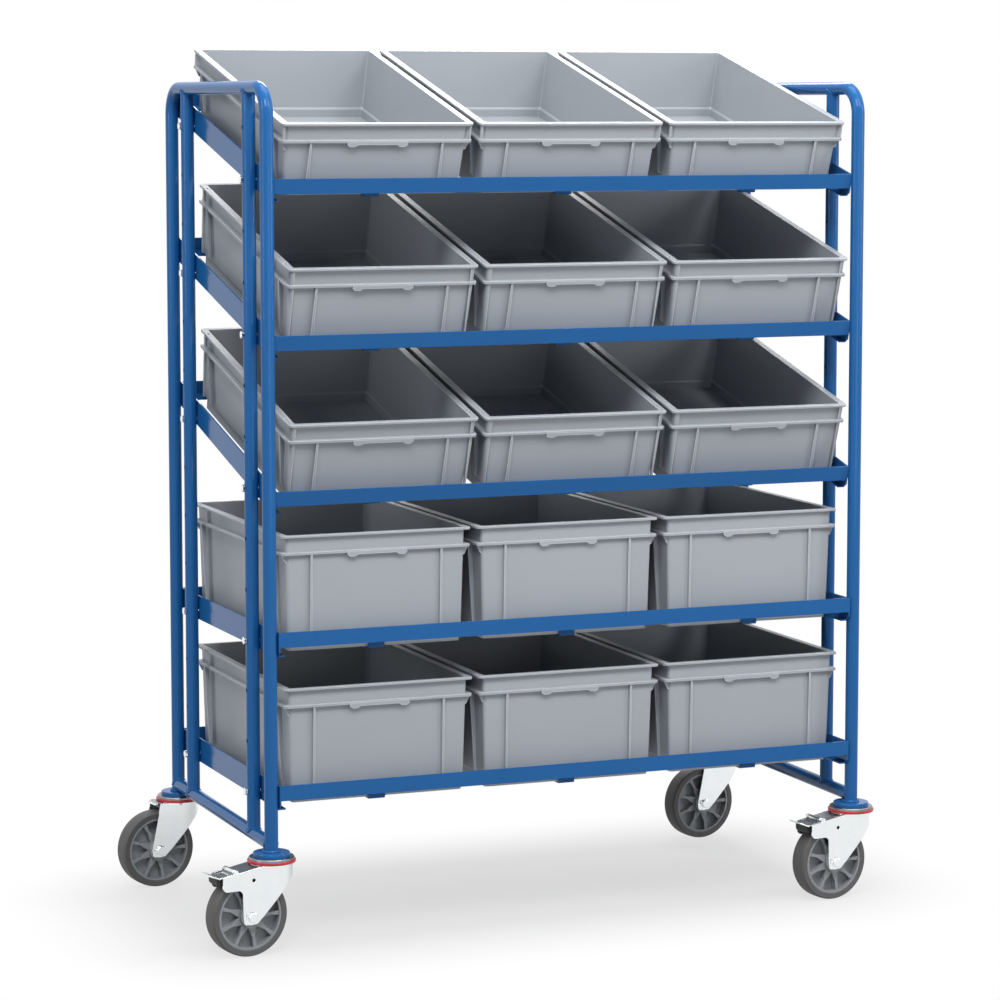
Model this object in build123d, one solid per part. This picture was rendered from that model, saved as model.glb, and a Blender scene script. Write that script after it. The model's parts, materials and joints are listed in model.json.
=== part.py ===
from build123d import *
import math
import os

# Euro box trolley: two tube end frames on four swivel castors, five bolted shelves, fifteen grey boxes.
# X runs along the shelves, Y from the front (-Y) to the back, Z up, the floor is Z = 0.
# Driving dimensions, millimetres and degrees.

# End frames
tube_d = 26.9
tube_wall = 2.0
leg_inset = 0.05          # outside of a leg behind the front edge of the shelves
top_room = 76.55          # last bolt hole up to the hoop's centre line
hoop_bend_r = 54.0        # on the tube's centre line
upright_gap_y = 410.0     # between the two inner uprights of one end frame
saddle_drop = 5.0         # a welded tube end stops this far short of the other tube's centre line
weld_gap = 0.05           # between a coped tube end and the tube it is welded to
rail_lift = 0.5           # from the castor plate up to the bottom rail
castor_plate_d = 73.0
castor_plate_t = 8.0

# Bolt holes and bolts
first_hole_rise = 99.0    # castor plate up to the lowest bolt hole
hole_pitch = 100.0
holes_per_shelf = 3       # shelf spacing in bolt holes
bolt_d = 8.0
bolt_hole_gap = 0.4       # all round the shank
bolt_head_w = 13.0        # across flats
bolt_head_h = 5.5
nut_h = 6.5
bolt_tip = 2.0            # thread showing past the nut

# Shelves
level_shelves = 2
tilted_shelves = 3
rear_bolt_drop = 6.5775   # a tilted shelf's rear bolt below its front bolt, in the side plate
sheet_t = 3.0
front_rail_h = 30.0
front_rail_flange = 37.0
side_plate_h = 49.0
side_plate_flange = 12.0
side_plate_corner = 10.0  # bevel at the lower corners
bolt_below_edge = 31.0    # front bolt below the top edge of the side plate
side_gap = 0.2            # paint between side plate and upright
bearer_w = 33.0
bearer_t = 4.0
bearer_bend_r = 5.0
seat_depth = 44.0         # box base below the top edge of the front rail

# Boxes
box_l = 600.0             # over the rim, along Y
box_w = 394.0             # over the rim, along X
low_box = (144.5, "web", 6.5)       # height, corner between the beads, width of a rib's foot
middle_box = (168.5, "post", 7.0)
tall_box = (227.0, "plain", 4.5)
box_rows = [low_box, middle_box, middle_box, tall_box, tall_box]   # top shelf first
box_shifts = [2.0, 9.5, 9.5, 0.0, 4.0]   # along X off the shelf's middle, top shelf first
boxes_per_shelf = 3
box_gap = 12.0            # between the rims of neighbours
box_end_gap = 13.35       # outer box to the side plate, with the row in the middle
box_rail_gap = 26.5       # rim to the front and the rear rail
box_seat_gap = 0.2
rim_corner_r = 9.0
rim_w = 14.0              # width of the rim's top on the long sides
rim_end_w = 10.0          # and on the short ends
bead_h = 5.0
bead_round = 1.0
band_h = 28.0             # between the two beads
second_bead_h = 6.0
second_bead_in = 1.0
floor_t = 4.0
wall_t = 2.5
draft_in = 5.0            # the wall just above the foot, further in than at the rim
foot_in = 3.0             # stacking foot, further in than the wall above it
foot_h = 20.0
foot_slope = 4.0          # height of the step from the foot to the wall
body_corner_r = 6.0
rib_w = 4.0               # at the bead
rib_foot_out = 5.0        # ribs out from the wall at their feet
post_w = 16.0             # corner posts, in from the rim's corner
post_out = 5.0            # corner posts out from the wall
web_t = 4.0               # corner webs
end_rib_in = 62.0         # ribs of the short ends, in from the rim's corner
side_rib_in = 58.0        # ribs of the long sides, in from the rim's corner
gusset_h = 19.0           # corner gussets under the second bead
gusset_w = 4.0
gusset_in = 13.0          # in from the rim's corner
grip_w = 124.0
grip_drop = 6.5           # the grip lip below the middle of the second bead
grip_hook_w = 22.0
grip_hook_drop = 4.0
grip_hook_slant = 6.0
grip_t = 5.0
rim_hole_d = 6.0
rim_hole_in = 38.0        # from the rim's corner, along the long side

# Castors
castor_turn = 8.0         # degrees, how far the castors stand turned about their swivel axes
trail = 55.0              # axle behind the swivel axis
wheel_d = 160.0
tyre_w = 40.0
tyre_crown = 6.0          # rounding of the tyre's shoulders
tyre_t = 13.5
tyre_room = 14.7          # tyre to the underside of the fork's top
ring_w = 37.0             # width of the wheel centre's ring
ring_t = 4.5
hub_d = 44.0
disc_t = 6.0              # disc between the hub and the ring
spoke_count = 9
spoke_hub_w = 16.0
spoke_mid_w = 5.0
spoke_rim_w = 9.0
spoke_w = 33.0
hub_side_gap = 0.4
hub_bore_gap = 0.2        # axle in the hub between the bearings, all round
axle_d = 12.0
axle_head_d = 19.4
axle_head_h = 6.0
axle_head_round = 2.0
axle_nut_w = 19.0
axle_tip = 3.0
bearing_d = 32.0
bearing_w = 10.0
bearing_fit = 0.05        # bearing on the axle, all round
press_gap = 0.02          # modelled gap of pressed and moulded-on pieces
fork_gap = 50.0           # between the fork's cheeks
fork_t = 3.0
fork_top_d = 86.0
fork_top_t = 4.0
fork_front = 44.0         # front of the fork from the swivel axis
fork_front_drop = 20.7    # where the fork's front starts to slant back, below its top
fork_bend = 4.0           # the fork's front starts to curve this far behind the swivel axis
fork_foot_back = 19.0     # rear edge of a cheek at axle height, behind the axle
fork_foot_low = 14.0      # lower edge of a cheek below the axle
fork_foot_lean = 2.0      # rear edge of a cheek, further in at its low end
fork_foot_front = 10.0    # front end of the lower edge ahead of the axle
fork_foot_r = 6.0         # rounding of the foot's corners
foot_hole_d = 8.0         # hole beside the axle
foot_hole_back = 13.5
foot_hole_rise = 4.0
fork_slant_x = 25.0       # the fork's slanted front edge at axle height, ahead of the axle
fork_back_top = 53.0      # rear edge of a plain cheek at its top, from the swivel axis
tongue_back = 63.0        # rear end of a plain fork's top tongue, from the swivel axis
tongue_w = 36.0
peep_d = 7.5              # round hole in a cheek
peep_x = 51.5
peep_drop = 26.2          # below the fork's top
collar_d = 90.0
collar_t = 5.0
seal_d = 95.0
seal_t = 6.0
seal_bore = 60.0
swivel_gap = 0.3
king_d = 16.0
king_fit = 0.05
king_flange_d = 28.0
king_flange_t = 4.0
stud_d = 12.0
stud_gap = 0.2
stud_l = 30.0

# Brakes of the two front castors
cover_start = 29.0        # where the fork's cover starts to fall, from the swivel axis
cover_plate_back = 82.0   # rear end of the cover's top plate
cover_back = 117.0        # rear end of the cover's cheeks
cover_end_drop = 14.7     # rear end of the cover below the fork's top
cover_end_h = 29.0
cover_step_x = 75.0       # where the cheek steps down to the axle
cover_corner_r = 10.0
pedal_pin_x = 89.0        # from the swivel axis
pedal_pin_drop = 7.7      # below the fork's top
pedal_pin_d = 6.0
pedal_pin_fit = 0.05
pedal_barrel_d = 10.0
pedal_reach = 141.0       # pedal tip from the swivel axis
pedal_tip_l = 20.0        # the tip that is turned up
pedal_tip_rise = 21.0     # degrees above level
pedal_sink = 0.5          # pedal's sheet below the line of the cover's top
pedal_w = 44.0
pedal_t = 3.0
panel_w = 30.0            # panel pressed into the pedal
panel_l = 18.0
panel_depth = 1.0
ear_r = 5.0               # ears of the cover round the pedal's pin
shoe_past_bend = 5.0      # brake shoe's rear end behind the bend of the pedal's tip
shoe_l = 25.0
shoe_w = 36.0
shoe_near_gap = 8.0       # tyre to the brake shoe's front end, pedal up
shoe_far_gap = 12.0       # and to its rear end
shoe_round = 8.0

# Derived places
shelf_count = level_shelves + tilted_shelves
hole_count = holes_per_shelf * (shelf_count - 1) + 2
box_pitch = box_w + box_gap
box_columns = [box_pitch * (i - (boxes_per_shelf - 1) / 2) for i in range(boxes_per_shelf)]
side_in = rim_w - wall_t            # outside of a box's long wall at the rim, in from the rim's edge
end_in = rim_end_w - wall_t         # and of its short wall
shelf_half_x = box_columns[-1] + box_w / 2 + box_end_gap + sheet_t
shelf_depth = box_l + 2 * (box_rail_gap + sheet_t)
shelf_tilt = math.degrees(math.atan2(hole_pitch, upright_gap_y)
                          + math.asin(rear_bolt_drop / math.hypot(hole_pitch, upright_gap_y)))
tube_r = tube_d / 2
leg_x = shelf_half_x + side_gap + tube_r
leg_y = shelf_depth / 2 - leg_inset - tube_r
upright_y = upright_gap_y / 2
axle_z = wheel_d / 2
fork_under = wheel_d + tyre_room
fork_top = fork_under + fork_top_t
seal_low = fork_top + swivel_gap
collar_low = seal_low + seal_t
castor_h = collar_low + collar_t
plate_top = castor_h + castor_plate_t
rail_axis_z = plate_top + rail_lift + tube_r
hole_first_z = plate_top + first_hole_rise
hoop_axis_z = hole_first_z + hole_pitch * (hole_count - 1) + top_room
pedal_pin_z = fork_top - pedal_pin_drop
cover_end_top = fork_top - cover_end_drop
cover_end_low = cover_end_top - cover_end_h
cover_fall = math.atan2(cover_end_drop, cover_back - cover_start)
pedal_bend = pedal_reach - pedal_tip_l
shoe_far = pedal_bend + shoe_past_bend
shoe_near = shoe_far - shoe_l
turn_cos = math.cos(math.radians(castor_turn))
turn_sin = math.sin(math.radians(castor_turn))
reach_back = max(pedal_reach * turn_cos + pedal_w / 2 * turn_sin,
                 (trail + wheel_d / 2) * turn_cos + tyre_w / 2 * turn_sin)
reach_front = max(seal_d, collar_d, castor_plate_d) / 2
mid_x = (reach_back - reach_front) / 2     # the castors trail one way, so the legs stand off the middle
castor_places = {"front_left": (-leg_x, -leg_y), "front_right": (leg_x, -leg_y),
                 "rear_left": (-leg_x, leg_y), "rear_right": (leg_x, leg_y)}

os.makedirs("parts", exist_ok=True)


def save(name, shape):
    export_step(Pos(mid_x, 0, 0) * shape, f"parts/{name}.step")


def upright_bar(low, high, radius, x, y):
    return Pos(x, y, (low + high) / 2) * Cylinder(radius, high - low)


def cross_bar(y_from, y_to, radius, x, z):
    return Pos(x, (y_from + y_to) / 2, z) * Rot(90, 0, 0) * Cylinder(radius, y_to - y_from)


def block(x_low, x_high, y_low, y_high, z_low, z_high):
    size = (x_high - x_low, y_high - y_low, z_high - z_low)
    return Pos((x_low + x_high) / 2, (y_low + y_high) / 2, (z_low + z_high) / 2) * Box(*size)


def hexagon_bar(across, low, high):
    return extrude(Plane.XY.offset(low) * RegularPolygon(across / 2, 6, major_radius=False), high - low)


# End frames
def hoop(x):
    path = FilletPolyline((x, -leg_y, plate_top), (x, -leg_y, hoop_axis_z), (x, leg_y, hoop_axis_z),
                          (x, leg_y, plate_top), radius=hoop_bend_r)
    section = Plane(origin=path @ 0, z_dir=path % 0) * (Circle(tube_r) - Circle(tube_r - tube_wall))
    return sweep(section, path=path)


def hole_z(index):
    return hole_first_z + index * hole_pitch


def upright(x, y):
    low = rail_axis_z + saddle_drop
    high = hoop_axis_z - saddle_drop
    tube = upright_bar(low, high, tube_r, x, y) - upright_bar(low, high, tube_r - tube_wall, x, y)
    for z in (rail_axis_z, hoop_axis_z):
        tube -= cross_bar(y - tube_d, y + tube_d, tube_r + weld_gap, x, z)
    hole_r = bolt_d / 2 + bolt_hole_gap
    for index in range(hole_count):
        tube -= Pos(x, y, hole_z(index)) * Rot(0, 90, 0) * Cylinder(hole_r, tube_d + tube_wall)
    return tube


def bottom_rail(x):
    end_y = leg_y - saddle_drop
    rail = cross_bar(-end_y, end_y, tube_r, x, rail_axis_z)
    rail -= cross_bar(-end_y, end_y, tube_r - tube_wall, x, rail_axis_z)
    for y in (-leg_y, leg_y):
        rail -= upright_bar(plate_top, rail_axis_z + tube_d, tube_r + weld_gap, x, y)
    return rail


def castor_plate(x, y):
    plate = Cylinder(castor_plate_d / 2, castor_plate_t)
    plate = fillet(plate.edges().group_by(Axis.Z)[-1], castor_plate_t / 4)
    plate -= Cylinder(stud_d / 2 + stud_gap, castor_plate_t * 2)
    return Pos(x, y, castor_h + castor_plate_t / 2) * plate


for side, x in (("left", -leg_x), ("right", leg_x)):
    save(f"{side}_hoop", hoop(x))
    save(f"{side}_uprights", Compound([upright(x, -upright_y), upright(x, upright_y)]))
save("bottom_rails", Compound([bottom_rail(-leg_x), bottom_rail(leg_x)]))
save("castor_plates", Compound([castor_plate(x, y) for x, y in castor_places.values()]))


# Shelves. A shelf's own frame has Z = 0 at the top edge of its rails and Y = 0 at its middle.
def shelf_place(index):
    front_hole = hole_z(holes_per_shelf * index)
    if index < level_shelves:
        return Pos(0, 0, front_hole + bolt_below_edge)
    tilt = math.radians(shelf_tilt)
    rise = (upright_y * math.sin(tilt) + bolt_below_edge) / math.cos(tilt)
    return Pos(0, 0, front_hole + rise) * Rot(shelf_tilt, 0, 0)


def shelf_bolt_heights(index):
    front = holes_per_shelf * index
    rear = front if index < level_shelves else front + 1
    return {-upright_y: hole_z(front), upright_y: hole_z(rear)}


def shelf_frame(index):
    inner_x = shelf_half_x - sheet_t
    half_y = shelf_depth / 2
    low = -front_rail_h
    frame = None
    for sign in (-1, 1):
        web_y = sorted((sign * half_y, sign * (half_y - sheet_t)))
        flange_y = sorted((sign * half_y, sign * (half_y - front_rail_flange)))
        rail = block(-inner_x, inner_x, *web_y, low, 0)
        rail += block(-inner_x, inner_x, *flange_y, low, low + sheet_t)
        frame = rail if frame is None else frame + rail
    corner = side_plate_corner
    outline = Polyline((-half_y, 0), (half_y, 0), (half_y, corner - side_plate_h),
                       (half_y - corner, -side_plate_h), (corner - half_y, -side_plate_h),
                       (-half_y, corner - side_plate_h), close=True)
    side = extrude(Plane.YZ * make_face(outline), sheet_t)
    flange_y = half_y - corner
    flange = block(-side_plate_flange, sheet_t, -flange_y, flange_y, -side_plate_h, sheet_t - side_plate_h)
    left_flange = block(0, side_plate_flange + sheet_t, -flange_y, flange_y, -side_plate_h,
                        sheet_t - side_plate_h)
    frame += Pos(inner_x, 0, 0) * (side + flange)
    frame += Pos(-shelf_half_x, 0, 0) * (side + left_flange)
    frame = shelf_place(index) * frame
    hole_r = bolt_d / 2 + bolt_hole_gap
    for y, z in shelf_bolt_heights(index).items():
        frame -= Pos(0, y, z) * Rot(0, 90, 0) * Cylinder(hole_r, 4 * leg_x)
    return frame


def bearer(index, x):
    end_y = shelf_depth / 2 - front_rail_flange
    low = -seat_depth - bearer_t
    high = sheet_t - front_rail_h
    outer = Polyline((-end_y, high), (-end_y, low), (end_y, low), (end_y, high),
                     (end_y - bearer_t, high), (end_y - bearer_t, -seat_depth),
                     (bearer_t - end_y, -seat_depth), (bearer_t - end_y, high), close=True)
    bar = extrude(Plane.YZ * make_face(outer), bearer_w / 2, both=True)
    bends = bar.edges().filter_by(Axis.X).group_by(Axis.Z)[0]
    bar = fillet(bends, bearer_bend_r)
    return shelf_place(index) * Pos(x, 0, 0) * bar


def shelf_bolt(sign, y, z):
    head_x = leg_x + tube_r
    nut_x = shelf_half_x - sheet_t
    bolt = upright_bar(nut_x - nut_h - bolt_tip, head_x, bolt_d / 2, 0, 0)
    bolt += hexagon_bar(bolt_head_w, head_x, head_x + bolt_head_h)
    nut = hexagon_bar(bolt_head_w, nut_x - nut_h, nut_x)
    nut -= Pos(0, 0, nut_x) * Cylinder(bolt_d / 2 + press_gap, nut_h * 3)
    turn = Pos(0, y, z) * Rot(0, 90 * sign, 0)
    return [turn * bolt, turn * nut]


bolts = []
for index in range(shelf_count):
    name = f"shelf_{shelf_count - index}"
    save(f"{name}_frame", shelf_frame(index))
    save(f"{name}_bearers", Compound([bearer(index, x) for x in box_columns]))
    for y, z in shelf_bolt_heights(index).items():
        for sign in (-1, 1):
            bolts += shelf_bolt(sign, y, z)
save("shelf_bolts", Compound(bolts))


# Boxes. A box's own frame has Z = 0 at its base and its middle on the Z axis.
def rounded_slab(inset, low, high, corner):
    plan = RectangleRounded(box_w - 2 * inset, box_l - 2 * inset, corner)
    return extrude(Plane.XY.offset(low) * plan, high - low)


def tapered_block(steps, grow, corner):
    sections = []
    for z, inset in steps:
        width = box_w - 2 * (side_in + inset - grow)
        length = box_l - 2 * (end_in + inset - grow)
        sections.append(Plane.XY.offset(z) * RectangleRounded(width, length, corner))
    return loft(sections, ruled=True)


def box_rib(wall_in, half, foot_w, rib_top, turn):
    wall_low = foot_h + foot_slope
    root = half - wall_in - draft_in - wall_t / 2
    foot_reach = half - wall_in - draft_in + rib_foot_out
    top_reach = half - 2 * second_bead_in
    steps = [(wall_low, root + wall_t / 2, foot_w), (wall_low + rib_foot_out, foot_reach, foot_w),
             (rib_top, top_reach, rib_w)]
    sections = []
    for z, reach, width in steps:
        plan = Pos((root + reach) / 2, 0) * Rectangle(reach - root, width)
        sections.append(Plane.XY.offset(z) * plan)
    return Rot(0, 0, turn) * loft(sections, ruled=True)


def corner_gusset(bead_low, turn):
    root = box_w / 2 - side_in - draft_in
    outline = Polyline((root, bead_low - gusset_h), (box_w / 2 - side_in, bead_low - gusset_h),
                       (box_w / 2 - second_bead_in * 2, bead_low), (root, bead_low), close=True)
    return Rot(0, 0, turn) * extrude(Plane.XZ * make_face(outline), gusset_w / 2, both=True)


def grip_lip(bead_low, turn):
    middle = grip_w / 2 - grip_hook_w
    edge = grip_w / 2
    low = bead_low - grip_drop
    hook = low - grip_hook_drop
    lip = Polyline((-edge, bead_low), (-edge, low), (edge, low), (edge, bead_low), close=True)
    front = Plane(origin=(0, -box_l / 2 + bead_round / 2, 0), x_dir=(1, 0, 0), z_dir=(0, -1, 0))
    grip = extrude(front * make_face(lip), -grip_t)
    for sign in (-1, 1):
        claw = Polyline((sign * edge, bead_low), (sign * edge, low), (sign * (edge - grip_hook_slant), hook),
                        (sign * (middle + grip_hook_slant), hook), (sign * middle, low),
                        (sign * middle, bead_low), close=True)
        grip += extrude(front * make_face(claw), -end_in - wall_t / 2)
    return Rot(0, 0, turn) * grip


def rim_bead(inset, low, high):
    bead = rounded_slab(inset, low, high, rim_corner_r - inset)
    return fillet(bead.edges().group_by(Axis.Z)[0] + bead.edges().group_by(Axis.Z)[-1], bead_round)


def corner_posts(wall_low, high):
    posts = tapered_block([(wall_low, draft_in), (high, 0)], post_out, body_corner_r)
    columns = None
    for x in (-box_w / 2, box_w / 2):
        for y in (-box_l / 2, box_l / 2):
            column = Pos(x, y, (wall_low + high) / 2) * Box(2 * post_w, 2 * post_w, high - wall_low)
            columns = column if columns is None else columns + column
    return posts & columns


def corner_webs(low, high):
    webs = None
    for x in (-box_w / 2, box_w / 2):
        for y in (-box_l / 2, box_l / 2):
            slant = math.copysign(45, x * y)
            web = Pos(x, y, (low + high) / 2) * Rot(0, 0, slant) * Box(4 * rim_w, web_t, high - low)
            webs = web if webs is None else webs + web
    return webs & rounded_slab(2 * second_bead_in, low, high, rim_corner_r)


def euro_box(height, corner, foot_w):
    bead_low = height - bead_h
    second_high = bead_low - band_h
    second_mid = second_high - second_bead_h / 2
    wall_low = foot_h + foot_slope
    foot_inset = draft_in + foot_in
    wall_steps = [(foot_h, foot_inset), (wall_low, draft_in), (height - bead_h / 2, 0)]
    shell = tapered_block([(0, foot_inset)] + wall_steps, 0, body_corner_r)
    shell += rim_bead(0, bead_low, height)
    shell += rim_bead(second_bead_in, second_high - second_bead_h, second_high)
    if corner == "post":
        shell += corner_posts(wall_low, bead_low + bead_h / 2)
    if corner == "web":
        shell += corner_webs(second_mid, bead_low + bead_h / 2)
    for turn in (0, 180):
        for side in (-1, 1):
            end_rib = box_rib(end_in, box_l / 2, foot_w, second_mid, turn + 90)
            side_rib = box_rib(side_in, box_w / 2, foot_w, second_mid, turn)
            shell += Pos(side * (box_w / 2 - end_rib_in), 0, 0) * end_rib
            shell += Pos(0, side * (box_l / 2 - side_rib_in), 0) * side_rib
            if corner != "post":
                shell += Pos(0, side * (box_l / 2 - gusset_in), 0) * corner_gusset(second_mid, turn)
        shell += grip_lip(second_mid, turn)
    cavity_steps = [(floor_t, foot_inset)] + wall_steps + [(height + bead_h, 0)]
    shell -= tapered_block(cavity_steps, -wall_t, body_corner_r - wall_t)
    hole_x = box_w / 2 - rim_w / 2
    hole_y = box_l / 2 - rim_hole_in
    for x in (-hole_x, hole_x):
        for y in (-hole_y, hole_y):
            shell -= Pos(x, y, height) * Cylinder(rim_hole_d / 2, 2 * bead_h)
    return shell


boxes = {kind: euro_box(*kind) for kind in set(box_rows)}
for row, kind in enumerate(box_rows):
    index = shelf_count - 1 - row
    for column, x in enumerate(box_columns):
        seat = Pos(x + box_shifts[row], 0, box_seat_gap - seat_depth)
        save(f"box_{row + 1}_{'abcdefgh'[column]}", shelf_place(index) * seat * boxes[kind])


# Castors, modelled about the swivel axis with the wheel trailing to -X
cheek_y = fork_gap / 2
hub_half = cheek_y - hub_side_gap


def castor_head():
    flange_top = fork_under - swivel_gap
    head = upright_bar(collar_low, castor_h, collar_d / 2, 0, 0)
    head = chamfer(head.edges().group_by(Axis.Z)[-1], collar_t / 3)
    head += upright_bar(castor_h - collar_t / 2, castor_h + castor_plate_t + stud_l, stud_d / 2, 0, 0)
    head += upright_bar(flange_top - king_flange_t, collar_low + collar_t / 2, king_d / 2, 0, 0)
    head += upright_bar(flange_top - king_flange_t, flange_top, king_flange_d / 2, 0, 0)
    return head


def swivel_seal():
    seal = upright_bar(seal_low, collar_low, seal_d / 2, 0, 0)
    seal = fillet(seal.edges(), seal_t / 4)
    return seal - upright_bar(seal_low - seal_t, collar_low + seal_t, seal_bore / 2, 0, 0)


def cheek_outline(braked):
    foot_low = axle_z - fork_foot_low
    points = [(fork_front, fork_top - fork_front_drop), (fork_front, fork_top)]
    if braked:
        points += [(-cover_start, fork_top), (-cover_back, cover_end_top), (-cover_back, cover_end_low),
                   (-cover_step_x, cover_end_low)]
    else:
        points += [(-fork_back_top, fork_top)]
    points += [(-trail - fork_foot_back, axle_z), (fork_foot_lean - trail - fork_foot_back, foot_low),
               (fork_foot_front - trail, foot_low), (fork_slant_x - trail, axle_z)]
    cheek = make_face(Polyline(*points, close=True))
    cheek = fillet(cheek.vertices().group_by(Axis.Y)[0], fork_foot_r)
    if braked:
        corners = cheek.vertices().filter_by_position(Axis.Y, cover_end_low - 1, cover_end_low + 1)
        cheek = fillet(corners, cover_corner_r)
        cheek += Pos(-pedal_pin_x, pedal_pin_z) * Circle(ear_r)
        cheek += Pos(-pedal_pin_x, pedal_pin_z - ear_r) * Rectangle(2 * ear_r, 2 * ear_r)
    return Plane.XZ * cheek


def fork_plan(half_width, front, back):
    plan = Pos((-fork_bend - back) / 2, 0) * Rectangle(back - fork_bend, 2 * half_width)
    return plan + Pos(-fork_bend, 0) * Ellipse(front + fork_bend, half_width)


def fork(braked):
    outer_y = cheek_y + fork_t
    back = cover_back + fork_t
    walls = fork_plan(outer_y, fork_front, back) - fork_plan(cheek_y, fork_front - fork_t, back + fork_t)
    pressing = extrude(walls, castor_h) & extrude(cheek_outline(braked), 2 * outer_y, both=True)
    pressing += upright_bar(fork_under, fork_top, fork_top_d / 2, 0, 0)
    if braked:
        length = (cover_plate_back - cover_start) / math.cos(cover_fall)
        plate = Pos(-length / 2, 0, -fork_t / 2) * Box(length, fork_gap, fork_t)
        pressing += Pos(-cover_start, 0, fork_top) * Rot(0, -math.degrees(cover_fall), 0) * plate
    else:
        pressing += block(-tongue_back, 0, -tongue_w / 2, tongue_w / 2, fork_under, fork_top)
    pressing -= upright_bar(fork_under - fork_top_t, fork_top + fork_top_t, king_d / 2 + king_fit, 0, 0)
    pressing -= cross_bar(-fork_gap, fork_gap, axle_d / 2 + press_gap, -trail, axle_z)
    foot_hole_z = axle_z + foot_hole_rise
    pressing -= cross_bar(-fork_gap, fork_gap, foot_hole_d / 2, -trail - foot_hole_back, foot_hole_z)
    if braked:
        pressing -= cross_bar(-fork_gap, fork_gap, peep_d / 2, -peep_x, fork_top - peep_drop)
        pressing -= cross_bar(-fork_gap, fork_gap, pedal_pin_d / 2 + press_gap, -pedal_pin_x, pedal_pin_z)
    return pressing


def axle():
    outer_y = cheek_y + fork_t
    bolt = upright_bar(-axle_head_h, 0, axle_head_d / 2, 0, 0)
    bolt = fillet(bolt.edges().group_by(Axis.Z)[0], axle_head_round)
    bolt += upright_bar(-axle_head_h / 2, 2 * outer_y + axle_head_h + axle_tip, axle_d / 2, 0, 0)
    nut = hexagon_bar(axle_nut_w, 2 * outer_y, 2 * outer_y + axle_head_h)
    nut -= Pos(0, 0, 2 * outer_y) * Cylinder(axle_d / 2 + press_gap, axle_head_h * 3)
    place = Pos(-trail, -outer_y, axle_z) * Rot(-90, 0, 0)
    return Compound([place * bolt, place * nut])


def wheel_centre():
    ring_r = wheel_d / 2 - tyre_t
    inner_r = ring_r - ring_t
    bore_r = bearing_d / 2 + press_gap
    centre = Cylinder(ring_r, ring_w) - Cylinder(inner_r, ring_w)
    centre += Cylinder(hub_d / 2, 2 * hub_half)
    centre += Cylinder(inner_r + ring_t / 2, disc_t)
    spoke_r = inner_r + ring_t / 2
    spoke_mid_r = (hub_d / 2 + spoke_r) / 2
    spoke_plan = Polyline((0, -spoke_hub_w / 2), (hub_d / 2, -spoke_hub_w / 2),
                          (spoke_mid_r, -spoke_mid_w / 2), (spoke_r, -spoke_rim_w / 2),
                          (spoke_r, spoke_rim_w / 2), (spoke_mid_r, spoke_mid_w / 2),
                          (hub_d / 2, spoke_hub_w / 2), (0, spoke_hub_w / 2), close=True)
    spoke = extrude(make_face(spoke_plan), spoke_w / 2, both=True)
    for i in range(spoke_count):
        centre += Rot(0, 0, 360 / spoke_count * i) * spoke
    centre -= Cylinder(axle_d / 2 + hub_bore_gap, 4 * hub_half)
    for sign in (-1, 1):
        centre -= Pos(0, 0, sign * (hub_half - bearing_w / 2)) * Cylinder(bore_r, bearing_w)
    return Pos(-trail, 0, axle_z) * Rot(90, 0, 0) * centre


def tyre():
    ring = Cylinder(wheel_d / 2, tyre_w)
    ring = fillet(ring.edges(), tyre_crown)
    ring -= Cylinder(wheel_d / 2 - tyre_t + press_gap, tyre_w * 2)
    return Pos(-trail, 0, axle_z) * Rot(90, 0, 0) * ring


def bearings():
    ring = Cylinder(bearing_d / 2, bearing_w) - Cylinder(axle_d / 2 + bearing_fit, bearing_w)
    place = Pos(-trail, 0, axle_z) * Rot(90, 0, 0)
    return Compound([place * Pos(0, 0, sign * (hub_half - bearing_w / 2)) * ring for sign in (-1, 1)])


def brake_pin():
    half = cheek_y + fork_t
    return cross_bar(-half, half, pedal_pin_d / 2, -pedal_pin_x, pedal_pin_z)


def pedal_top(x):
    fall = (min(x, pedal_bend) - cover_start) * math.tan(cover_fall)
    rise = max(x - pedal_bend, 0) * math.tan(math.radians(pedal_tip_rise))
    return fork_top - pedal_sink - fall + rise


def brake_pedal():
    stations = [pedal_pin_x, pedal_bend, pedal_reach]
    outline = [(-x, pedal_top(x)) for x in stations]
    outline += [(-x, pedal_top(x) - pedal_t) for x in reversed(stations)]
    pedal = extrude(Plane.XZ * make_face(Polyline(*outline, close=True)), pedal_w / 2, both=True)
    pedal += cross_bar(-pedal_w / 2, pedal_w / 2, pedal_barrel_d / 2, -pedal_pin_x, pedal_pin_z)
    panel_x = (pedal_pin_x + pedal_barrel_d / 2 + pedal_bend) / 2
    panel = Rot(0, -math.degrees(cover_fall), 0) * Box(panel_l, panel_w, 2 * panel_depth)
    pedal -= Pos(-panel_x, 0, pedal_top(panel_x)) * panel
    return pedal - cross_bar(-pedal_w, pedal_w, pedal_pin_d / 2 + pedal_pin_fit, -pedal_pin_x, pedal_pin_z)


def brake_shoe():
    near_low = axle_z + math.sqrt((axle_z + shoe_near_gap) ** 2 - (shoe_near - trail) ** 2)
    far_low = axle_z + math.sqrt((axle_z + shoe_far_gap) ** 2 - (shoe_far - trail) ** 2)
    outline = [(-x, pedal_top(x) - pedal_t) for x in (shoe_far, pedal_bend, shoe_near)]
    outline += [(-shoe_near, near_low), (-shoe_far, far_low)]
    side = make_face(Polyline(*outline, close=True))
    shoe = extrude(Plane.XZ * side, shoe_w / 2, both=True)
    return fillet(shoe.edges().filter_by(Axis.Y).group_by(Axis.X)[0].group_by(Axis.Z)[0], shoe_round)


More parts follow.
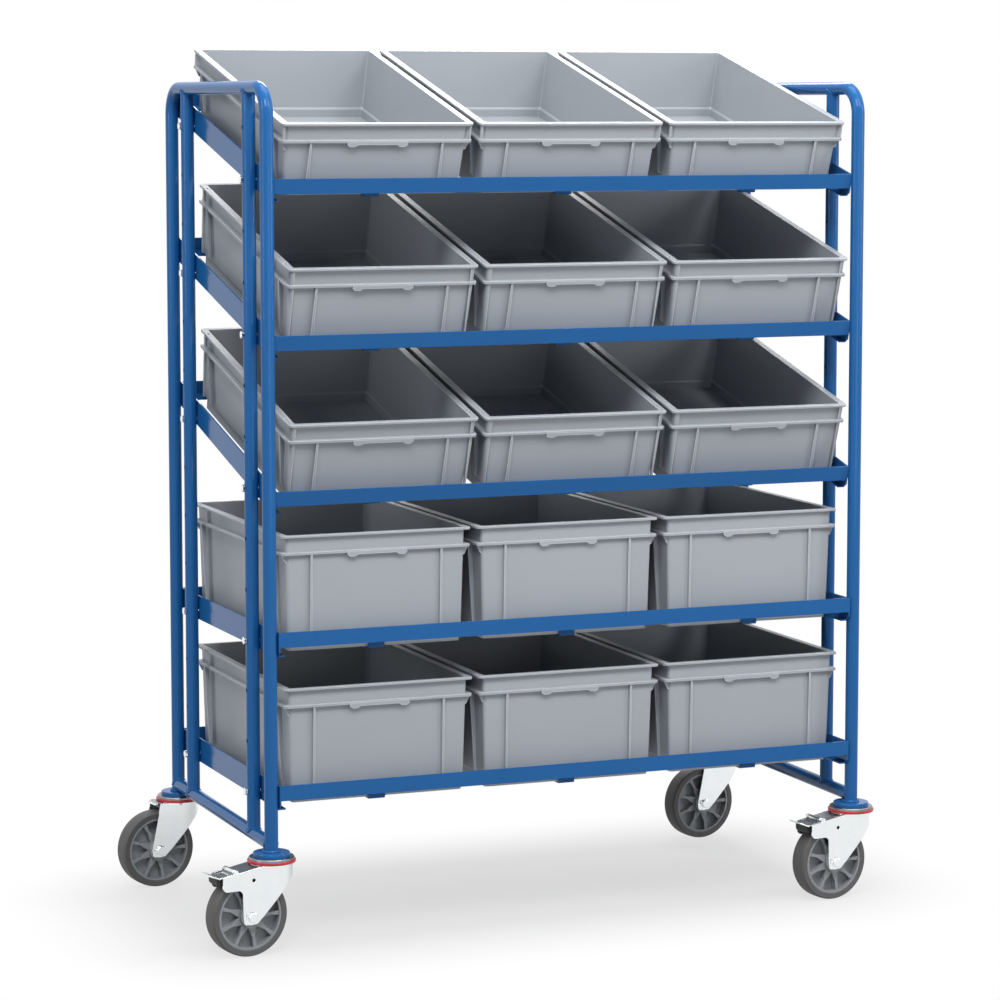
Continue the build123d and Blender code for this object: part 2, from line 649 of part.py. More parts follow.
forks = {True: fork(True), False: fork(False)}
castor_pieces = {"axle": axle(), "wheel_centre": wheel_centre(), "tyre": tyre(), "wheel_bearings": bearings()}
brake_pieces = {"brake_pin": brake_pin(), "brake_pedal": brake_pedal(), "brake_shoe": brake_shoe()}
for corner, (x, y) in castor_places.items():
    place = Pos(x, y, 0) * Rot(0, 0, castor_turn)
    braked = y < 0
    save(f"{corner}_fork", place * forks[braked])
    for name, shape in castor_pieces.items():
        save(f"{corner}_{name}", place * shape)
    if braked:
        for name, shape in brake_pieces.items():
            save(f"{corner}_{name}", place * shape)
save("castor_heads", Compound([Pos(x, y, 0) * castor_head() for x, y in castor_places.values()]))
save("swivel_seals", Compound([Pos(x, y, 0) * swivel_seal() for x, y in castor_places.values()]))
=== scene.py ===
import json
import math
import bpy
import bmesh
from mathutils import Matrix, Vector


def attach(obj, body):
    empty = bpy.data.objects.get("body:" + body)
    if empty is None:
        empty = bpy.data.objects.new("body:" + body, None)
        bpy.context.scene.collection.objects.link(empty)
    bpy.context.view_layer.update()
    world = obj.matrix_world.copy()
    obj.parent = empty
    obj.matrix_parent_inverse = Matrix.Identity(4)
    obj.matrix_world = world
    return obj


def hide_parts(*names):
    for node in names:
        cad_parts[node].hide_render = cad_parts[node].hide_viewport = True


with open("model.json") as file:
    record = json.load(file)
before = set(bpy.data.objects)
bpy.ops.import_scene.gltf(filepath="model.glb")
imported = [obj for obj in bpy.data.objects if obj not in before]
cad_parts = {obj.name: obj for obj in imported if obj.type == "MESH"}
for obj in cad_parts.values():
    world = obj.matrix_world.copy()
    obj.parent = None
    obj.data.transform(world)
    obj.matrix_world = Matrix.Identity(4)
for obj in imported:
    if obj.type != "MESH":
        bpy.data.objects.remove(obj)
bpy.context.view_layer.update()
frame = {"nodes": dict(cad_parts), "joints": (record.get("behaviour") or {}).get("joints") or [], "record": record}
nodes = frame["nodes"]
scene = bpy.context.scene
print("frame loaded:", len(nodes), "nodes")


def linear(hexText):
    parts = [int(hexText[i:i + 2], 16) / 255 for i in (1, 3, 5)]
    return [p / 12.92 if p <= 0.04045 else ((p + 0.055) / 1.055) ** 2.4 for p in parts] + [1.0]


def addNode(tree, kind, links=None, **settings):
    node = tree.nodes.new(kind)
    for name, value in settings.items():
        setattr(node, name, value)
    for socket, value in (links or {}).items():
        if isinstance(value, bpy.types.NodeSocket):
            tree.links.new(value, node.inputs[socket])
        else:
            node.inputs[socket].default_value = value
    return node


def startMaterial(name):
    material = bpy.data.materials.new(name)
    material.use_nodes = True
    material.node_tree.nodes.clear()
    return material, material.node_tree


# polyester powder coat, sprayed and baked on steel tube: deep even blue, wet gloss, faint orange peel
coatLook = {"colour": "#1A5791", "thin": "#205E9A", "sheen": 0.16, "glossy": 0.07, "dulled": 0.16,
            "peelMm": 2.6, "peelDepthMm": 0.02, "peel": 0.35, "cloudMm": 160.0, "edgeMm": 1.2}


def powderCoat():
    material, tree = startMaterial("powderCoatBlue")
    place = addNode(tree, "ShaderNodeTexCoord")
    cloud = addNode(tree, "ShaderNodeTexNoise", {"Vector": place.outputs["Object"], "Detail": 3.0,
                                                 "Scale": 1000 / coatLook["cloudMm"]})
    tint = addNode(tree, "ShaderNodeMix", {0: cloud.outputs["Fac"], 6: linear(coatLook["colour"]),
                                           7: linear(coatLook["thin"])}, data_type="RGBA")
    gloss = addNode(tree, "ShaderNodeMapRange", {"Value": cloud.outputs["Fac"], "To Min": coatLook["glossy"],
                                                 "To Max": coatLook["dulled"]})
    peel = addNode(tree, "ShaderNodeTexNoise", {"Vector": place.outputs["Object"], "Detail": 1.0,
                                                "Scale": 1000 / coatLook["peelMm"]})
    edge = addNode(tree, "ShaderNodeBevel", {"Radius": coatLook["edgeMm"] / 1000}, samples=4)
    bump = addNode(tree, "ShaderNodeBump", {"Height": peel.outputs["Fac"], "Normal": edge.outputs["Normal"],
                                            "Strength": coatLook["peel"],
                                            "Distance": coatLook["peelDepthMm"] / 1000})
    shader = addNode(tree, "ShaderNodeBsdfPrincipled", {"Base Color": tint.outputs[2], "IOR": 1.5,
                                                        "Roughness": gloss.outputs[0],
                                                        "Specular IOR Level": coatLook["sheen"],
                                                        "Normal": bump.outputs["Normal"]})
    addNode(tree, "ShaderNodeOutputMaterial", {"Surface": shader.outputs[0]})
    return material


# polypropylene, injection moulded: silver grey, half-matt, finely eroded face, slow flow clouds, painted highlight
# along the edges
# the real grain of about 0.2 mm is too fine to show, so it is drawn coarser
boxLook = {"colour": "#999EA4", "flow": "#A0A5AB", "edgeHighlightColour": "#CDD1D6", "glossy": 0.40, "dulled": 0.51,
           "sheen": 0.35, "grainMm": 1.1, "grainDepthMm": 0.03, "grain": 0.25, "flowMm": 240.0,
           "edgeMm": 0.8, "edgeHighlightMm": 1.9, "edgeHighlight": 0.85}


def boxPlastic():
    material, tree = startMaterial("polypropyleneGrey")
    place = addNode(tree, "ShaderNodeTexCoord")
    flow = addNode(tree, "ShaderNodeTexNoise", {"Vector": place.outputs["Object"], "Detail": 4.0,
                                                "Scale": 1000 / boxLook["flowMm"]})
    tint = addNode(tree, "ShaderNodeMix", {0: flow.outputs["Fac"], 6: linear(boxLook["colour"]),
                                           7: linear(boxLook["flow"])}, data_type="RGBA")
    # painted highlight: convex edges, found by the inside occlusion, are mixed towards a paler grey
    thin = addNode(tree, "ShaderNodeAmbientOcclusion", {"Distance": boxLook["edgeHighlightMm"] / 1000},
                   samples=8, inside=True, only_local=True)
    edgeHighlight = addNode(tree, "ShaderNodeMapRange", {"Value": thin.outputs["AO"], "From Min": 1.0,
                                               "From Max": 0.55, "To Max": boxLook["edgeHighlight"]})
    tint = addNode(tree, "ShaderNodeMix", {0: edgeHighlight.outputs[0], 6: tint.outputs[2],
                                           7: linear(boxLook["edgeHighlightColour"])}, data_type="RGBA")
    gloss = addNode(tree, "ShaderNodeMapRange", {"Value": flow.outputs["Fac"], "To Min": boxLook["glossy"],
                                                 "To Max": boxLook["dulled"]})
    grain = addNode(tree, "ShaderNodeTexNoise", {"Vector": place.outputs["Object"], "Detail": 2.0,
                                                 "Scale": 1000 / boxLook["grainMm"]})
    edge = addNode(tree, "ShaderNodeBevel", {"Radius": boxLook["edgeMm"] / 1000}, samples=4)
    bump = addNode(tree, "ShaderNodeBump", {"Height": grain.outputs["Fac"], "Normal": edge.outputs["Normal"],
                                            "Strength": boxLook["grain"],
                                            "Distance": boxLook["grainDepthMm"] / 1000})
    shader = addNode(tree, "ShaderNodeBsdfPrincipled", {"Base Color": tint.outputs[2], "IOR": 1.49,
                                                        "Roughness": gloss.outputs[0],
                                                        "Specular IOR Level": boxLook["sheen"],
                                                        "Normal": bump.outputs["Normal"]})
    addNode(tree, "ShaderNodeOutputMaterial", {"Surface": shader.outputs[0]})
    return material


# bright zinc plate on pressed steel: near white, soft mirror, duller where it faces up and painted grey there as a
# dark reflection, painted highlight on the edges
zincLook = {"colour": "#F0F3F4", "dull": "#E4E9EB", "upDarkReflection": "#8C9194", "edgeHighlightColour": "#F4F6F7", "glossy": 0.11,
            "dulled": 0.25, "upRoughness": 0.36, "cloudMm": 22.0, "edgeMm": 1.2, "edgeHighlightMm": 1.2}

# turned steel of the swivel heads, thinly plated: darker and greyer than the pressings, with the same painted dark
# reflection on faces turned up and painted highlight on the edges
headLook = {"colour": "#8B9196", "dull": "#7C8287", "upDarkReflection": "#7C8287", "edgeHighlightColour": "#B4B9BD", "glossy": 0.24,
            "dulled": 0.38, "upRoughness": 0.34, "cloudMm": 22.0, "edgeMm": 0.8, "edgeHighlightMm": 0.8}


def platedSteel(name, look):
    material, tree = startMaterial(name)
    place = addNode(tree, "ShaderNodeTexCoord")
    cloud = addNode(tree, "ShaderNodeTexNoise", {"Vector": place.outputs["Object"], "Detail": 3.0,
                                                 "Scale": 1000 / look["cloudMm"]})
    tint = addNode(tree, "ShaderNodeMix", {0: cloud.outputs["Fac"], 6: linear(look["colour"]),
                                           7: linear(look["dull"])}, data_type="RGBA")
    gloss = addNode(tree, "ShaderNodeMapRange", {"Value": cloud.outputs["Fac"], "To Min": look["glossy"],
                                                 "To Max": look["dulled"]})
    # painted reflection: faces turned up are mixed towards a darker grey, standing for the shaded floor they would
    # mirror; they are also made rougher
    face = addNode(tree, "ShaderNodeNewGeometry")
    way = addNode(tree, "ShaderNodeSeparateXYZ", {0: face.outputs["Normal"]})
    upDarkReflection = addNode(tree, "ShaderNodeMapRange", {"Value": way.outputs["Z"], "From Min": 0.8,
                                                  "From Max": 0.95})
    tint = addNode(tree, "ShaderNodeMix", {0: upDarkReflection.outputs[0], 6: tint.outputs[2],
                                           7: linear(look["upDarkReflection"])}, data_type="RGBA")
    gloss = addNode(tree, "ShaderNodeMix", {0: upDarkReflection.outputs[0], 2: gloss.outputs[0],
                                            3: look["upRoughness"]})
    # painted highlight: convex edges, found by the inside occlusion, are mixed towards a paler colour
    thin = addNode(tree, "ShaderNodeAmbientOcclusion", {"Distance": look["edgeHighlightMm"] / 1000},
                   samples=8, inside=True, only_local=True)
    edgeHighlight = addNode(tree, "ShaderNodeMapRange", {"Value": thin.outputs["AO"], "From Min": 1.0,
                                               "From Max": 0.55})
    tint = addNode(tree, "ShaderNodeMix", {0: edgeHighlight.outputs[0], 6: tint.outputs[2],
                                           7: linear(look["edgeHighlightColour"])}, data_type="RGBA")
    edge = addNode(tree, "ShaderNodeBevel", {"Radius": look["edgeMm"] / 1000}, samples=4)
    shader = addNode(tree, "ShaderNodeBsdfPrincipled", {"Base Color": tint.outputs[2], "Metallic": 1.0,
                                                        "Roughness": gloss.outputs[0],
                                                        "Normal": edge.outputs["Normal"]})
    addNode(tree, "ShaderNodeOutputMaterial", {"Surface": shader.outputs[0]})
    return material


# moulded pieces of the castors, satin to matt with a fine grain and slow clouds
# here too the grain is drawn coarser than the real one, so that it shows
mould = {"cloudMm": 30.0, "glossRise": 0.07, "glossDrop": 0.05, "grain": 0.25, "grainDepthMm": 0.05,
         "edgeMm": 0.8}
castorLook = {
    # polyamide, moulded: mid grey wheel centre with a slight sheen
    "wheelCentre": {"name": "polyamideMoulded", "colour": "#7F8387", "light": "#888C90", "roughness": 0.4,
                    "ior": 1.49, "grainMm": 0.9},
    # elastic rubber, moulded: warm dark grey, matt
    "tyre": {"name": "rubberElastic", "colour": "#494849", "light": "#525152", "roughness": 0.62,
             "ior": 1.52, "grainMm": 1.4},
    # polyethylene, moulded: clear red ring with some gloss
    "seal": {"name": "polyethyleneRed", "colour": "#B01B27", "light": "#BA232F", "roughness": 0.3,
             "ior": 1.49, "grainMm": 0.9},
    # soft brake rubber, moulded: near black, matt
    "shoe": {"name": "rubberBlack", "colour": "#161617", "light": "#1F1F20", "roughness": 0.6,
             "ior": 1.52, "grainMm": 1.4}}


def mouldedPiece(look):
    material, tree = startMaterial(look["name"])
    place = addNode(tree, "ShaderNodeTexCoord")
    grain = addNode(tree, "ShaderNodeTexNoise", {"Vector": place.outputs["Object"], "Detail": 2.0,
                                                 "Scale": 1000 / look["grainMm"]})
    cloud = addNode(tree, "ShaderNodeTexNoise", {"Vector": place.outputs["Object"], "Detail": 3.0,
                                                 "Scale": 1000 / mould["cloudMm"]})
    tint = addNode(tree, "ShaderNodeMix", {0: cloud.outputs["Fac"], 6: linear(look["colour"]),
                                           7: linear(look["light"])}, data_type="RGBA")
    gloss = addNode(tree, "ShaderNodeMapRange", {"Value": cloud.outputs["Fac"],
                                                 "To Min": look["roughness"] - mould["glossDrop"],
                                                 "To Max": look["roughness"] + mould["glossRise"]})
    edge = addNode(tree, "ShaderNodeBevel", {"Radius": mould["edgeMm"] / 1000}, samples=4)
    bump = addNode(tree, "ShaderNodeBump", {"Height": grain.outputs["Fac"], "Normal": edge.outputs["Normal"],
                                            "Strength": mould["grain"],
                                            "Distance": mould["grainDepthMm"] / 1000})
    shader = addNode(tree, "ShaderNodeBsdfPrincipled", {"Base Color": tint.outputs[2], "IOR": look["ior"],
                                                        "Roughness": gloss.outputs[0],
                                                        "Normal": bump.outputs["Normal"]})
    addNode(tree, "ShaderNodeOutputMaterial", {"Surface": shader.outputs[0]})
    return material


coat, plastic = powderCoat(), boxPlastic()
zinc, headSteel = platedSteel("zincPlateBright", zincLook), platedSteel("steelTurned", headLook)
wheelGrey, tyreRubber, sealRed, shoeBlack = [mouldedPiece(castorLook[k])
                                             for k in ("wheelCentre", "tyre", "seal", "shoe")]
print("materials made")

slotFinish = {"frame_paint": coat, "box_plastic": plastic, "zinc": zinc, "wheel_plastic": wheelGrey,
              "tyre": tyreRubber, "seal": sealRed, "bearing_steel": zinc, "brake_rubber": shoeBlack}
for part in frame["record"]["subparts"]:
    mesh = nodes[part["node"]].data
    mesh.materials.clear()
    mesh.materials.append(headSteel if part["node"] == "castor_heads" else slotFinish[part["material_slot"]])
print("finishes given to the nodes")

# sizes of the frame that the seams follow, in millimetres
trolley = {"legX": 633.0, "legY": 316.0, "uprightY": 205.0, "tubeR": 13.45, "plateTop": 198.0,
           "railZ": 211.95, "hoopZ": 1673.55, "shelfZ": [328.0, 628.0, 982.43, 1282.43, 1582.43],
           "tilt": [0, 0, 14.6, 14.6, 14.6], "innerX": 616.35, "railInY": 326.5, "flangeY": 292.5,
           "flangeTop": -27.0, "boxPitch": 406.0}
joints = {j["name"]: j for j in frame["joints"]}
corners = [name.removesuffix("_wheel_roll") for name in joints if name.endswith("_wheel_roll")]
rolls = {corner: joints[corner + "_wheel_roll"] for corner in corners}
swivels = {corner: Vector(joints[corner + "_swivel_turn"]["pos_m"]) for corner in corners}
midX = (swivels["front_left"].x + swivels["front_right"].x) / 2
xAxis, yAxis, zAxis = Vector((1, 0, 0)), Vector((0, 1, 0)), Vector((0, 0, 1))


def newPiece(name, bm, finish, body):
    mesh = bpy.data.meshes.new(name)
    bm.normal_update()
    bm.to_mesh(mesh)
    bm.free()
    mesh.materials.append(finish)
    piece = bpy.data.objects.new(name, mesh)
    scene.collection.objects.link(piece)
    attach(piece, body)
    return piece


# weld seams under the coat: rippled beads where tube ends, plates and bearers meet, in millimetres
weld = {"rippleMm": 3.4, "ripple": 0.15, "sides": 8, "offAxis": (0.31, 0.52, 0.79),
        "tubeBeadMm": 2.5, "tubeGapMm": 3.2, "tubeSteps": 72,
        "footBeadMm": 3.1, "footR": 14.4, "footLift": 1.2, "footSteps": 64,
        "cornerBeadMm": 2.0, "cornerIn": 0.6, "cornerTop": 3.0, "cornerStep": 1.1,
        "bearerBeadMm": 1.8, "bearerHalf": 13.0, "bearerStep": 1.3, "runPoints": 21}


def sweepBead(bm, points, closed, beadMm):
    count, sides = len(points), weld["sides"]
    rings, run = [], 0.0
    for i, p in enumerate(points):
        after = points[(i + 1) % count] if closed or i + 1 < count else p
        before = points[i - 1] if closed or i > 0 else p
        along = (after - before).normalized()
        side = along.cross(Vector(weld["offAxis"])).normalized()
        up = side.cross(along)
        run += (p - points[i - 1]).length if i else 0
        swell = beadMm / 1000 * (1 + weld["ripple"] * math.sin(2 * math.pi * run * 1000 / weld["rippleMm"]))
        turns = [2 * math.pi * k / sides for k in range(sides)]
        rings.append([bm.verts.new(p + (side * math.cos(a) + up * math.sin(a)) * swell) for a in turns])
    for i in range(count if closed else count - 1):
        one, two = rings[i], rings[(i + 1) % count]
        shift = 0
        if closed and i + 1 == count:
            shift = min(range(sides), key=lambda s: (one[0].co - two[s].co).length)
        for k in range(sides):
            face = (one[k], one[(k + 1) % sides], two[(k + 1 + shift) % sides], two[(k + shift) % sides])
            bm.faces.new(face).smooth = True
    if not closed:
        bm.faces.new(reversed(rings[0]))
        bm.faces.new(rings[-1])


def layTubeSeam(bm, centre, main, branch):
    radius, points = trolley["tubeR"], []
    for i in range(weld["tubeSteps"]):
        t = 2 * math.pi * i / weld["tubeSteps"]
        lift = math.hypot(radius * math.sin(t), weld["tubeGapMm"])
        point = centre + xAxis * radius * math.cos(t) + main * radius * math.sin(t) + branch * lift
        points.append(point / 1000)
    sweepBead(bm, points, True, weld["tubeBeadMm"])


def layFootSeam(bm, x, y):
    z, radius = trolley["plateTop"] + weld["footLift"], weld["footR"]
    turns = [2 * math.pi * i / weld["footSteps"] for i in range(weld["footSteps"])]
    points = [Vector((x + radius * math.cos(a), y + radius * math.sin(a), z)) / 1000 for a in turns]
    sweepBead(bm, points, True, weld["footBeadMm"])


def layStraightSeam(bm, place, start, step, beadMm):
    points = [place @ ((start + step * i) / 1000) for i in range(weld["runPoints"])]
    sweepBead(bm, points, False, beadMm)


bm = bmesh.new()
for x in (midX * 1000 - trolley["legX"], midX * 1000 + trolley["legX"]):
    for side in (-1, 1):
        y = side * trolley["uprightY"]
        layTubeSeam(bm, Vector((x, y, trolley["railZ"])), yAxis, zAxis)
        layTubeSeam(bm, Vector((x, y, trolley["hoopZ"])), yAxis, -zAxis)
        y = side * trolley["legY"]
        layTubeSeam(bm, Vector((x, y, trolley["railZ"])), zAxis, -side * yAxis)
        layFootSeam(bm, x, y)
for z, tilt in zip(trolley["shelfZ"], trolley["tilt"]):
    place = Matrix.Translation((midX, 0, z / 1000)) @ Matrix.Rotation(math.radians(tilt), 4, "X")
    for sx in (-1, 1):
        for sy in (-1, 1):
            start = Vector((sx * (trolley["innerX"] - weld["cornerIn"]),
                            sy * (trolley["railInY"] - weld["cornerIn"]), -weld["cornerTop"]))
            layStraightSeam(bm, place, start, -zAxis * weld["cornerStep"], weld["cornerBeadMm"])
    for column in (-1, 0, 1):
        for sy in (-1, 1):
            start = Vector((column * trolley["boxPitch"] - weld["bearerHalf"], sy * trolley["flangeY"],
                            trolley["flangeTop"]))
            layStraightSeam(bm, place, start, xAxis * weld["bearerStep"], weld["bearerBeadMm"])
newPiece("weldSeams", bm, coat, "trolley_frame")
print("weld seams laid")

# tyre turned about its axle: flat tread, small moulded lip at the shoulder, hollow sidewall down to the ring
# profile in millimetres: radius, half width
tyreShape = {"profile": [(66.6, 18.3), (67.0, 19.2), (68.4, 19.7), (71.5, 19.35), (74.6, 19.5), (76.4, 19.85),
                         (77.2, 19.8), (77.7, 19.3), (77.75, 18.7), (78.5, 18.0), (79.2, 16.6), (79.6, 14.0),
                         (79.9, 8.0), (80.0, 0.0)],
             "segments": 128}
loop = tyreShape["profile"] + [(r, -w) for r, w in reversed(tyreShape["profile"][:-1])]
for corner, roll in rolls.items():
    axis, centre = Vector(roll["axis"]), Vector(roll["pos_m"])
    fore = zAxis.cross(axis).normalized()
    bm = bmesh.new()
    rings = []
    for i in range(tyreShape["segments"]):
        a = 2 * math.pi * i / tyreShape["segments"]
        out = fore * math.cos(a) + zAxis * math.sin(a)
        rings.append([bm.verts.new(centre + out * r / 1000 + axis * w / 1000) for r, w in loop])
    for one, two in zip(rings, rings[1:] + rings[:1]):
        for k in range(len(loop)):
            following = (k + 1) % len(loop)
            bm.faces.new((one[k], one[following], two[following], two[k])).smooth = True
    bmesh.ops.recalc_face_normals(bm, faces=bm.faces)
    tyre = newPiece(corner + "_turnedTyre", bm, tyreRubber, corner + "_wheel")
    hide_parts(corner + "_tyre")
print("tyres turned")

# brake pedal pressed from sheet: plate in line with the fork's cover, shallow panel, tip turned up, barrel on
# the pin; millimetres back from the swivel axis and up from the floor
pedal = {"pinX": 89.0, "pinZ": 171.0, "barrelR": 5.0, "boreR": 3.05, "halfW": 22.0, "sheet": 3.0,
         "bend": 121.0, "tip": 141.0, "tipTrim": 3.0, "pinGap": 1.0, "forkTop": 178.7, "coverStart": 29.0,
         "fall": 14.7 / 88.0, "sink": 0.5, "rise": 21.0, "panel": (98.5, 116.5, 15.0), "panelDeep": 1.0,
         "panelWall": 1.4, "edge": 0.8, "edgeSteps": 3, "edgeAngle": 20.0, "steps": 40}


def sheetTop(x):
    flat = min(x, pedal["bend"])
    rise = max(x - pedal["bend"], 0) * math.tan(math.radians(pedal["rise"]))
    return pedal["forkTop"] - pedal["sink"] - (flat - pedal["coverStart"]) * pedal["fall"] + rise


def pressPedal(bm):
    near, far, wide = pedal["panel"]
    wall, tip = pedal["panelWall"], pedal["tip"]
    stations = [pedal["pinX"] + pedal["pinGap"], near, near + wall, far - wall, far, pedal["bend"],
                tip - pedal["tipTrim"], tip]
    layers = []
    for under in (False, True):
        grid = []
        for x in stations:
            half = pedal["halfW"] - (pedal["tipTrim"] if x == tip else 0)
            row = []
            for y in (-half, -wide, wall - wide, wide - wall, wide, half):
                deep = near + wall <= x <= far - wall and abs(y) < wide and not under
                z = sheetTop(x) - (pedal["sheet"] if under else pedal["panelDeep"] if deep else 0)
                row.append(bm.verts.new((-x / 1000, y / 1000, z / 1000)))
            grid.append(row)
        layers.append(grid)
    top, low = layers
    last = len(top[0]) - 1
    for i in range(len(stations) - 1):
        for k in range(last):
            bm.faces.new((top[i][k], top[i][k + 1], top[i + 1][k + 1], top[i + 1][k]))
            bm.faces.new((low[i][k], low[i + 1][k], low[i + 1][k + 1], low[i][k + 1]))
        for k in (0, last):
            bm.faces.new((top[i][k], top[i + 1][k], low[i + 1][k], low[i][k]))
    for i in (0, len(stations) - 1):
        for k in range(last):
            bm.faces.new((top[i][k], top[i][k + 1], low[i][k + 1], low[i][k]))


def rollBarrel(bm):
    def circle(radius, y):
        turns = [2 * math.pi * i / pedal["steps"] for i in range(pedal["steps"])]
        return [bm.verts.new(((radius * math.cos(a) - pedal["pinX"]) / 1000, y / 1000,
                              (radius * math.sin(a) + pedal["pinZ"]) / 1000)) for a in turns]
    half, outer, edge = pedal["halfW"], pedal["barrelR"], pedal["edge"]
    loops = [circle(pedal["boreR"], -half), circle(outer - edge, -half), circle(outer, edge - half),
             circle(outer, half - edge), circle(outer - edge, half), circle(pedal["boreR"], half)]
    for one, two in zip(loops, loops[1:] + loops[:1]):
        for i in range(pedal["steps"]):
            following = (i + 1) % pedal["steps"]
            bm.faces.new((one[i], one[following], two[following], two[i])).smooth = True


for corner in ("front_left", "front_right"):
    axis, swivel = Vector(rolls[corner]["axis"]), swivels[corner]
    turn = Matrix.Rotation(math.atan2(-axis.x, axis.y), 4, "Z")
    place = Matrix.Translation((swivel.x, swivel.y, 0)) @ turn
    for name, shape in (("pressedPedal", pressPedal), ("pedalBarrel", rollBarrel)):
        bm = bmesh.new()
        shape(bm)
        bmesh.ops.recalc_face_normals(bm, faces=bm.faces)
        bmesh.ops.transform(bm, matrix=place, verts=bm.verts)
        piece = newPiece(corner + "_" + name, bm, zinc, corner + "_pedal")
        if name == "pressedPedal":
            soft = piece.modifiers.new("edges", "BEVEL")
            soft.width, soft.segments = pedal["edge"] / 1000, pedal["edgeSteps"]
            soft.limit_method, soft.angle_limit = "ANGLE", math.radians(pedal["edgeAngle"])
            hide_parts(corner + "_brake_pedal")
print("pedals pressed")


def shownPlain(tree):  # rays that meet the white surround as it is: the eye, gloss and glass
    rays = addNode(tree, "ShaderNodeLightPath")
    seen = addNode(tree, "ShaderNodeMath", {0: rays.outputs["Is Camera Ray"],
                                            1: rays.outputs["Is Glossy Ray"]}, operation="MAXIMUM")
    seen = addNode(tree, "ShaderNodeMath", {0: seen.outputs[0], 1: rays.outputs["Is Transmission Ray"]},
                   operation="MAXIMUM")
    return rays, seen


# matt paper sweep with a painted shadow: grey paper mixed in under the trolley's footprint, where the real shadows
# also show, white to the eye further out, lengths in metres
floorLook = {"size": 40.0, "colour": "#9C9C9C", "bounce": "#9A9A9A", "keep": 0.66, "halfX": 0.6, "halfY": 0.2,
             "reach": 0.42}
mesh = bpy.data.meshes.new("floor")
half = floorLook["size"] / 2
sheetCorners = [(-half, -half, 0), (half, -half, 0), (half, half, 0), (-half, half, 0)]
mesh.from_pydata(sheetCorners, [], [(0, 1, 2, 3)])
floor = bpy.data.objects.new("floor", mesh)
scene.collection.objects.link(floor)
material, tree = startMaterial("floorPaper")
place = addNode(tree, "ShaderNodeTexCoord")
# painted shadow: distance from the trolley's footprint, fading from the grey paper near it to plain white
away = addNode(tree, "ShaderNodeVectorMath", {0: place.outputs["Object"]}, operation="ABSOLUTE")
away = addNode(tree, "ShaderNodeVectorMath", {0: away.outputs[0],
                                              1: (floorLook["halfX"], floorLook["halfY"], 0)},
               operation="SUBTRACT")
away = addNode(tree, "ShaderNodeVectorMath", {0: away.outputs[0], 1: (0, 0, 0)}, operation="MAXIMUM")
away = addNode(tree, "ShaderNodeVectorMath", {0: away.outputs[0]}, operation="LENGTH")
shadowFade = addNode(tree, "ShaderNodeMapRange", {"Value": away.outputs["Value"], "From Max": floorLook["reach"],
                                            "To Min": floorLook["keep"], "To Max": 1.0},
               interpolation_type="SMOOTHSTEP")
rays, seen = shownPlain(tree)
amount = addNode(tree, "ShaderNodeMath", {0: seen.outputs[0], 1: shadowFade.outputs[0]}, operation="MULTIPLY")
tone = addNode(tree, "ShaderNodeMix", {0: rays.outputs["Is Diffuse Ray"], 6: linear(floorLook["colour"]),
                                       7: linear(floorLook["bounce"])}, data_type="RGBA")
paper = addNode(tree, "ShaderNodeBsdfDiffuse", {"Color": tone.outputs[2]})
glow = addNode(tree, "ShaderNodeEmission", {"Color": (1, 1, 1, 1), "Strength": 1.0})
both = addNode(tree, "ShaderNodeMixShader", {0: amount.outputs[0], 1: paper.outputs[0], 2: glow.outputs[0]})
addNode(tree, "ShaderNodeOutputMaterial", {"Surface": both.outputs[0]})
mesh.materials.append(material)

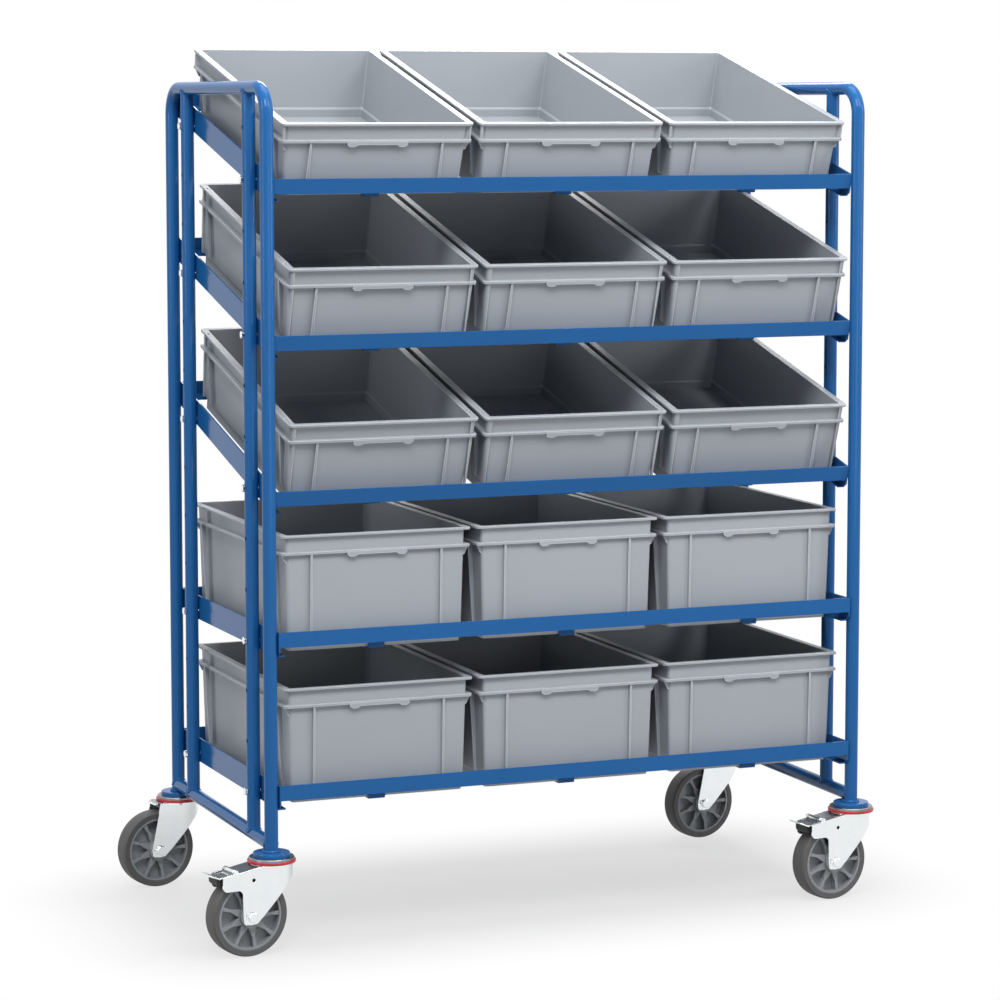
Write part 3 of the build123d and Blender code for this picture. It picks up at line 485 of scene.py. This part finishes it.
# studio light: white surround for the eye, dim fill, large soft boxes given as place, size and watts
studio = {"fill": 0.22, "aim": (0.05, 0, 0.85),
          "boxes": {"keyBox": ((-1.8, -3.2, 4.6), (1.8, 1.8), 170),
                    "topBox": ((0.1, 0.1, 4.6), (3.0, 2.0), 81),
                    "highBox": ((1.3, -3.4, 6.2), (2.4, 2.2), 48),
                    "nearBox": ((1.1, -2.3, 3.3), (1.3, 1.1), 38),
                    "lowBox": ((0.6, -5.2, 0.9), (2.6, 1.4), 26),
                    "leftBox": ((-4.2, -0.6, 2.2), (0.6, 2.6), 48),
                    "rightBox": ((4.2, -2.6, 2.2), (0.6, 2.6), 64),
                    "rearBox": ((1.6, 3.8, 4.6), (2.6, 2.0), 130)}}
world = bpy.data.worlds.new("studio")
scene.world = world
world.use_nodes = True
tree = world.node_tree
tree.nodes.clear()
rays, seen = shownPlain(tree)
fill = addNode(tree, "ShaderNodeBackground", {"Color": (1, 1, 1, 1), "Strength": studio["fill"]})
white = addNode(tree, "ShaderNodeBackground", {"Color": (1, 1, 1, 1), "Strength": 1.0})
both = addNode(tree, "ShaderNodeMixShader", {0: seen.outputs[0], 1: fill.outputs[0], 2: white.outputs[0]})
addNode(tree, "ShaderNodeOutputWorld", {"Surface": both.outputs[0]})
for name, (spot, size, watts) in studio["boxes"].items():
    lamp = bpy.data.lights.new(name, "AREA")
    lamp.shape = "RECTANGLE"
    lamp.size, lamp.size_y = size
    lamp.energy = watts
    holder = bpy.data.objects.new(name, lamp)
    holder.location = spot
    holder.rotation_euler = (Vector(studio["aim"]) - Vector(spot)).to_track_quat("-Z", "Y").to_euler()
    scene.collection.objects.link(holder)
print("floor and lights set")

# camera of the photograph: focal length and middle of view in pixels of its square frame
lens = {"framePx": 1000.0, "focalPx": 3352.0, "middleY": 450.0, "sensorMm": 36.0, "farM": 100.0,
        "spot": (-2.5646, -6.4132, 1.6439), "yaw": -21.954, "pitch": 5.910, "roll": -0.005}
view = bpy.data.cameras.new("photoCamera")
view.sensor_width = lens["sensorMm"]
view.lens = lens["focalPx"] / lens["framePx"] * lens["sensorMm"]
view.shift_y = (lens["middleY"] - lens["framePx"] / 2) / lens["framePx"]
view.clip_end = lens["farM"]
camera = bpy.data.objects.new("photoCamera", view)
turn = Matrix.Rotation(math.radians(lens["yaw"]), 4, "Z")
turn = turn @ Matrix.Rotation(math.radians(90 - lens["pitch"]), 4, "X")
turn = turn @ Matrix.Rotation(math.radians(lens["roll"]), 4, "Z")
camera.matrix_world = Matrix.Translation(lens["spot"]) @ turn
scene.collection.objects.link(camera)
scene.camera = camera
scene.view_settings.view_transform = "Standard"
print("camera set")
